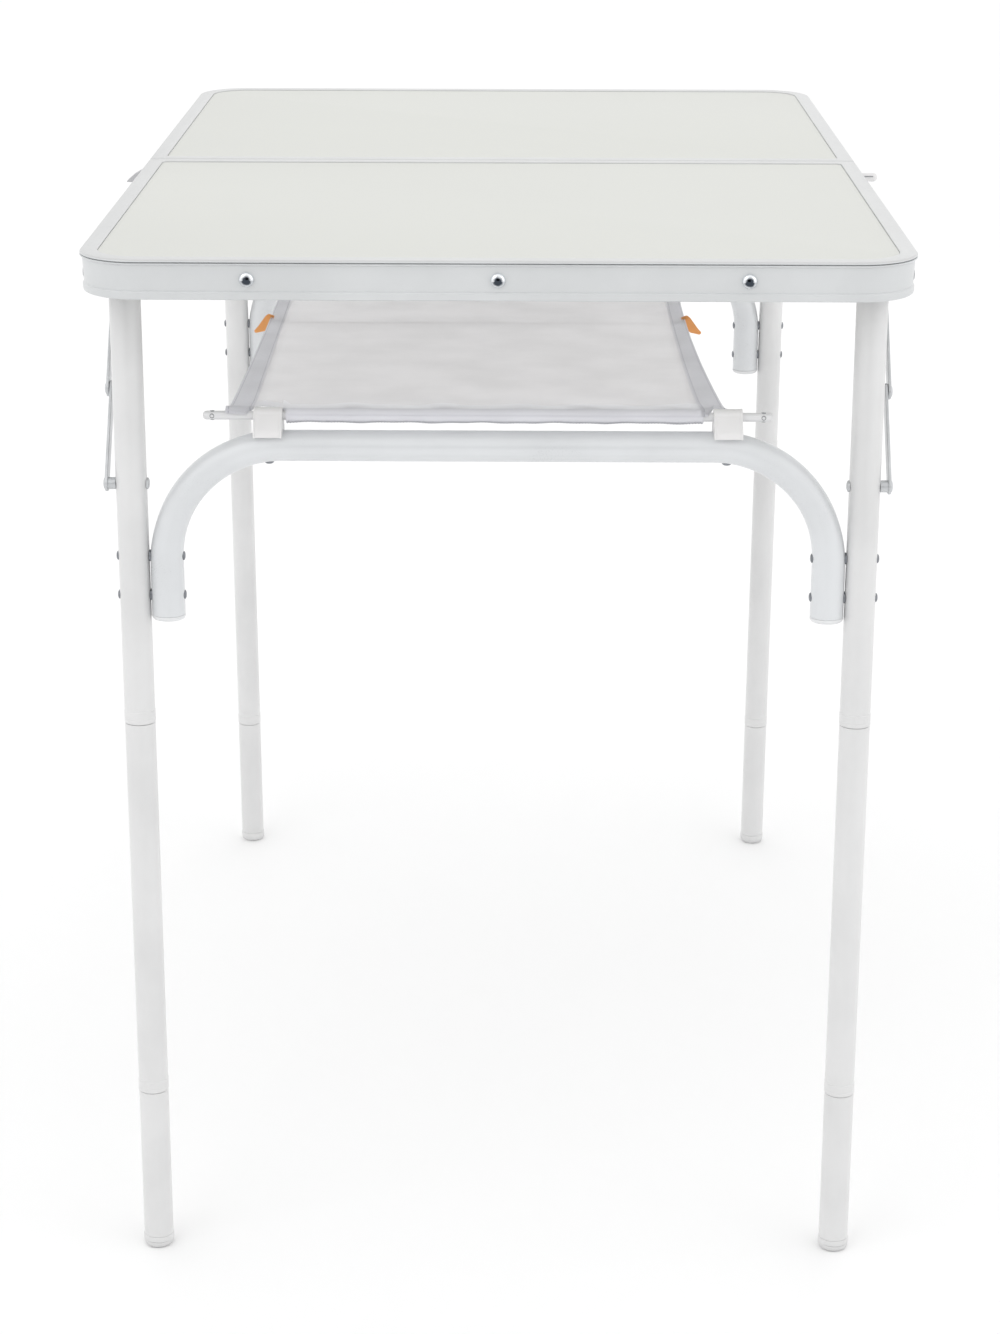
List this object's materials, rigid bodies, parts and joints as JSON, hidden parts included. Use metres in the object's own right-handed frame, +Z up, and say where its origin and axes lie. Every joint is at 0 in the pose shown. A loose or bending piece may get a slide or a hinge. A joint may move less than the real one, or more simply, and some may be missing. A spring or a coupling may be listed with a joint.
{
  "type": "camp kitchen table",
  "caption": "Two-leaf folding table with rimmed worktop, two leg frames with plug-on leg sections, and a net shelf slung on rods between the frames.",
  "frame": {"origin": "on the floor, under the middle of the worktop", "axes": "+Z up, +Y along the table away from the studded front edge, +X to the right across it"},
  "size_m": [0.6364, 0.9016, 0.8],
  "materials": {
    "rim": "satin white-silver extrusion",
    "worktop": "off-white laminated board, fine even texture",
    "stud": "polished dome",
    "white_plastic": "white moulded plastic",
    "foot_cap": "white moulded plastic",
    "rivet": "plain steel rivet",
    "stay": "zinc-plated flat bar",
    "net": "fine white mesh with grey edge binding",
    "tag": "blank orange woven tag",
    "u_bar": "satin white-silver tube",
    "shelf_rod": "satin rod",
    "leg_tube": "satin white-silver tube"
  },
  "bodies": {
    "front_half": {"front_rim": "rim", "front_seam_rail": "rim", "front_panel": "worktop", "edge_stud_left": "stud", "edge_stud_middle": "stud", "edge_stud_right": "stud", "side_peg_left": "white_plastic", "side_peg_right": "white_plastic", "front_left_leg_pivot": "rivet", "front_right_leg_pivot": "rivet", "shelf_net_front": "net", "shelf_net_middle": "net", "shelf_tag_left": "tag", "shelf_tag_right": "tag"},
    "back_half": {"back_rim": "rim", "back_seam_rail": "rim", "back_panel": "worktop", "back_left_leg_pivot": "rivet", "back_right_leg_pivot": "rivet", "shelf_net_back": "net"},
    "front_leg_frame": {"front_left_leg_upper": "leg_tube", "front_right_leg_upper": "leg_tube", "front_u_bar": "u_bar", "front_left_rivet_high": "rivet", "front_left_rivet_low": "rivet", "front_right_rivet_high": "rivet", "front_right_rivet_low": "rivet", "front_left_clip": "white_plastic", "front_right_clip": "white_plastic", "front_shelf_rod": "shelf_rod"},
    "front_left_extension": {"front_left_leg_extension": "leg_tube"},
    "front_left_foot_section": {"front_left_leg_foot": "leg_tube", "front_left_foot_cap": "foot_cap"},
    "front_left_stay_lower_link": {"front_left_stay_lower": "stay"},
    "front_left_stay_upper_link": {"front_left_stay_upper": "stay"},
    "front_right_extension": {"front_right_leg_extension": "leg_tube"},
    "front_right_foot_section": {"front_right_leg_foot": "leg_tube", "front_right_foot_cap": "foot_cap"},
    "front_right_stay_lower_link": {"front_right_stay_lower": "stay"},
    "front_right_stay_upper_link": {"front_right_stay_upper": "stay"},
    "back_leg_frame": {"back_left_leg_upper": "leg_tube", "back_right_leg_upper": "leg_tube", "back_u_bar": "u_bar", "back_left_rivet_high": "rivet", "back_left_rivet_low": "rivet", "back_right_rivet_high": "rivet", "back_right_rivet_low": "rivet", "back_left_clip": "white_plastic", "back_right_clip": "white_plastic", "back_shelf_rod": "shelf_rod"},
    "back_left_extension": {"back_left_leg_extension": "leg_tube"},
    "back_left_foot_section": {"back_left_leg_foot": "leg_tube", "back_left_foot_cap": "foot_cap"},
    "back_left_stay_lower_link": {"back_left_stay_lower": "stay"},
    "back_left_stay_upper_link": {"back_left_stay_upper": "stay"},
    "back_right_extension": {"back_right_leg_extension": "leg_tube"},
    "back_right_foot_section": {"back_right_leg_foot": "leg_tube", "back_right_foot_cap": "foot_cap"},
    "back_right_stay_lower_link": {"back_right_stay_lower": "stay"},
    "back_right_stay_upper_link": {"back_right_stay_upper": "stay"}
  },
  "joints": [
    {"name": "worktop_fold", "type": "hinge", "parent": "front_half", "child": "back_half", "pos_m": [0, 0, 0.7705], "axis": [-1, 0, 0], "range_deg": [0, 45], "deforming": ["shelf_net_middle", "shelf_tag_left", "shelf_tag_right"]},
    {"name": "front_legs_fold", "type": "hinge", "parent": "front_half", "child": "front_leg_frame", "pos_m": [0, -0.399, 0.782], "axis": [1, 0, 0], "range_deg": [0, 87.7], "deforming": ["shelf_net_front"]},
    {"name": "front_left_extension_pull", "type": "slide", "parent": "front_leg_frame", "child": "front_left_extension", "axis": [0, -0.0297, -0.9996], "range_m": [0, 0.52]},
    {"name": "front_left_foot_pull", "type": "slide", "parent": "front_left_extension", "child": "front_left_foot_section", "axis": [0, -0.0297, -0.9996], "range_m": [0, 0.04]},
    {"name": "front_left_stay_lower_turn", "type": "hinge", "parent": "front_leg_frame", "child": "front_left_stay_lower_link", "pos_m": [0, -0.40366, 0.62507], "axis": [1, 0, 0], "range_deg": [-154.57, 0]},
    {"name": "front_left_stay_upper_turn", "type": "hinge", "parent": "front_half", "child": "front_left_stay_upper_link", "pos_m": [0, -0.285, 0.781], "axis": [1, 0, 0], "range_deg": [0, 115.13]},
    {"name": "front_right_extension_pull", "type": "slide", "parent": "front_leg_frame", "child": "front_right_extension", "axis": [0, -0.0297, -0.9996], "range_m": [0, 0.52]},
    {"name": "front_right_foot_pull", "type": "slide", "parent": "front_right_extension", "child": "front_right_foot_section", "axis": [0, -0.0297, -0.9996], "range_m": [0, 0.04]},
    {"name": "front_right_stay_lower_turn", "type": "hinge", "parent": "front_leg_frame", "child": "front_right_stay_lower_link", "pos_m": [0, -0.40366, 0.62507], "axis": [1, 0, 0], "range_deg": [-154.57, 0]},
    {"name": "front_right_stay_upper_turn", "type": "hinge", "parent": "front_half", "child": "front_right_stay_upper_link", "pos_m": [0, -0.285, 0.781], "axis": [1, 0, 0], "range_deg": [0, 115.13]},
    {"name": "back_legs_fold", "type": "hinge", "parent": "back_half", "child": "back_leg_frame", "pos_m": [0, 0.399, 0.782], "axis": [-1, 0, 0], "range_deg": [0, 87.7], "deforming": ["shelf_net_back"]},
    {"name": "back_left_extension_pull", "type": "slide", "parent": "back_leg_frame", "child": "back_left_extension", "axis": [0, 0.0297, -0.9996], "range_m": [0, 0.52]},
    {"name": "back_left_foot_pull", "type": "slide", "parent": "back_left_extension", "child": "back_left_foot_section", "axis": [0, 0.0297, -0.9996], "range_m": [0, 0.04]},
    {"name": "back_left_stay_lower_turn", "type": "hinge", "parent": "back_leg_frame", "child": "back_left_stay_lower_link", "pos_m": [0, 0.40366, 0.62507], "axis": [-1, 0, 0], "range_deg": [-154.57, 0]},
    {"name": "back_left_stay_upper_turn", "type": "hinge", "parent": "back_half", "child": "back_left_stay_upper_link", "pos_m": [0, 0.285, 0.781], "axis": [-1, 0, 0], "range_deg": [0, 115.13]},
    {"name": "back_right_extension_pull", "type": "slide", "parent": "back_leg_frame", "child": "back_right_extension", "axis": [0, 0.0297, -0.9996], "range_m": [0, 0.52]},
    {"name": "back_right_foot_pull", "type": "slide", "parent": "back_right_extension", "child": "back_right_foot_section", "axis": [0, 0.0297, -0.9996], "range_m": [0, 0.04]},
    {"name": "back_right_stay_lower_turn", "type": "hinge", "parent": "back_leg_frame", "child": "back_right_stay_lower_link", "pos_m": [0, 0.40366, 0.62507], "axis": [-1, 0, 0], "range_deg": [-154.57, 0]},
    {"name": "back_right_stay_upper_turn", "type": "hinge", "parent": "back_half", "child": "back_right_stay_upper_link", "pos_m": [0, 0.285, 0.781], "axis": [-1, 0, 0], "range_deg": [0, 115.13]}
  ],
  "couplings": [
    {"joint": "front_left_stay_lower_turn", "follows": "front_legs_fold", "ratio": -1.7511},
    {"joint": "front_left_stay_upper_turn", "follows": "front_legs_fold", "ratio": 1.3013},
    {"joint": "front_right_stay_lower_turn", "follows": "front_legs_fold", "ratio": -1.7511},
    {"joint": "front_right_stay_upper_turn", "follows": "front_legs_fold", "ratio": 1.3013},
    {"joint": "back_left_stay_lower_turn", "follows": "back_legs_fold", "ratio": -1.7511},
    {"joint": "back_left_stay_upper_turn", "follows": "back_legs_fold", "ratio": 1.3013},
    {"joint": "back_right_stay_lower_turn", "follows": "back_legs_fold", "ratio": -1.7511},
    {"joint": "back_right_stay_upper_turn", "follows": "back_legs_fold", "ratio": 1.3013}
  ]
}
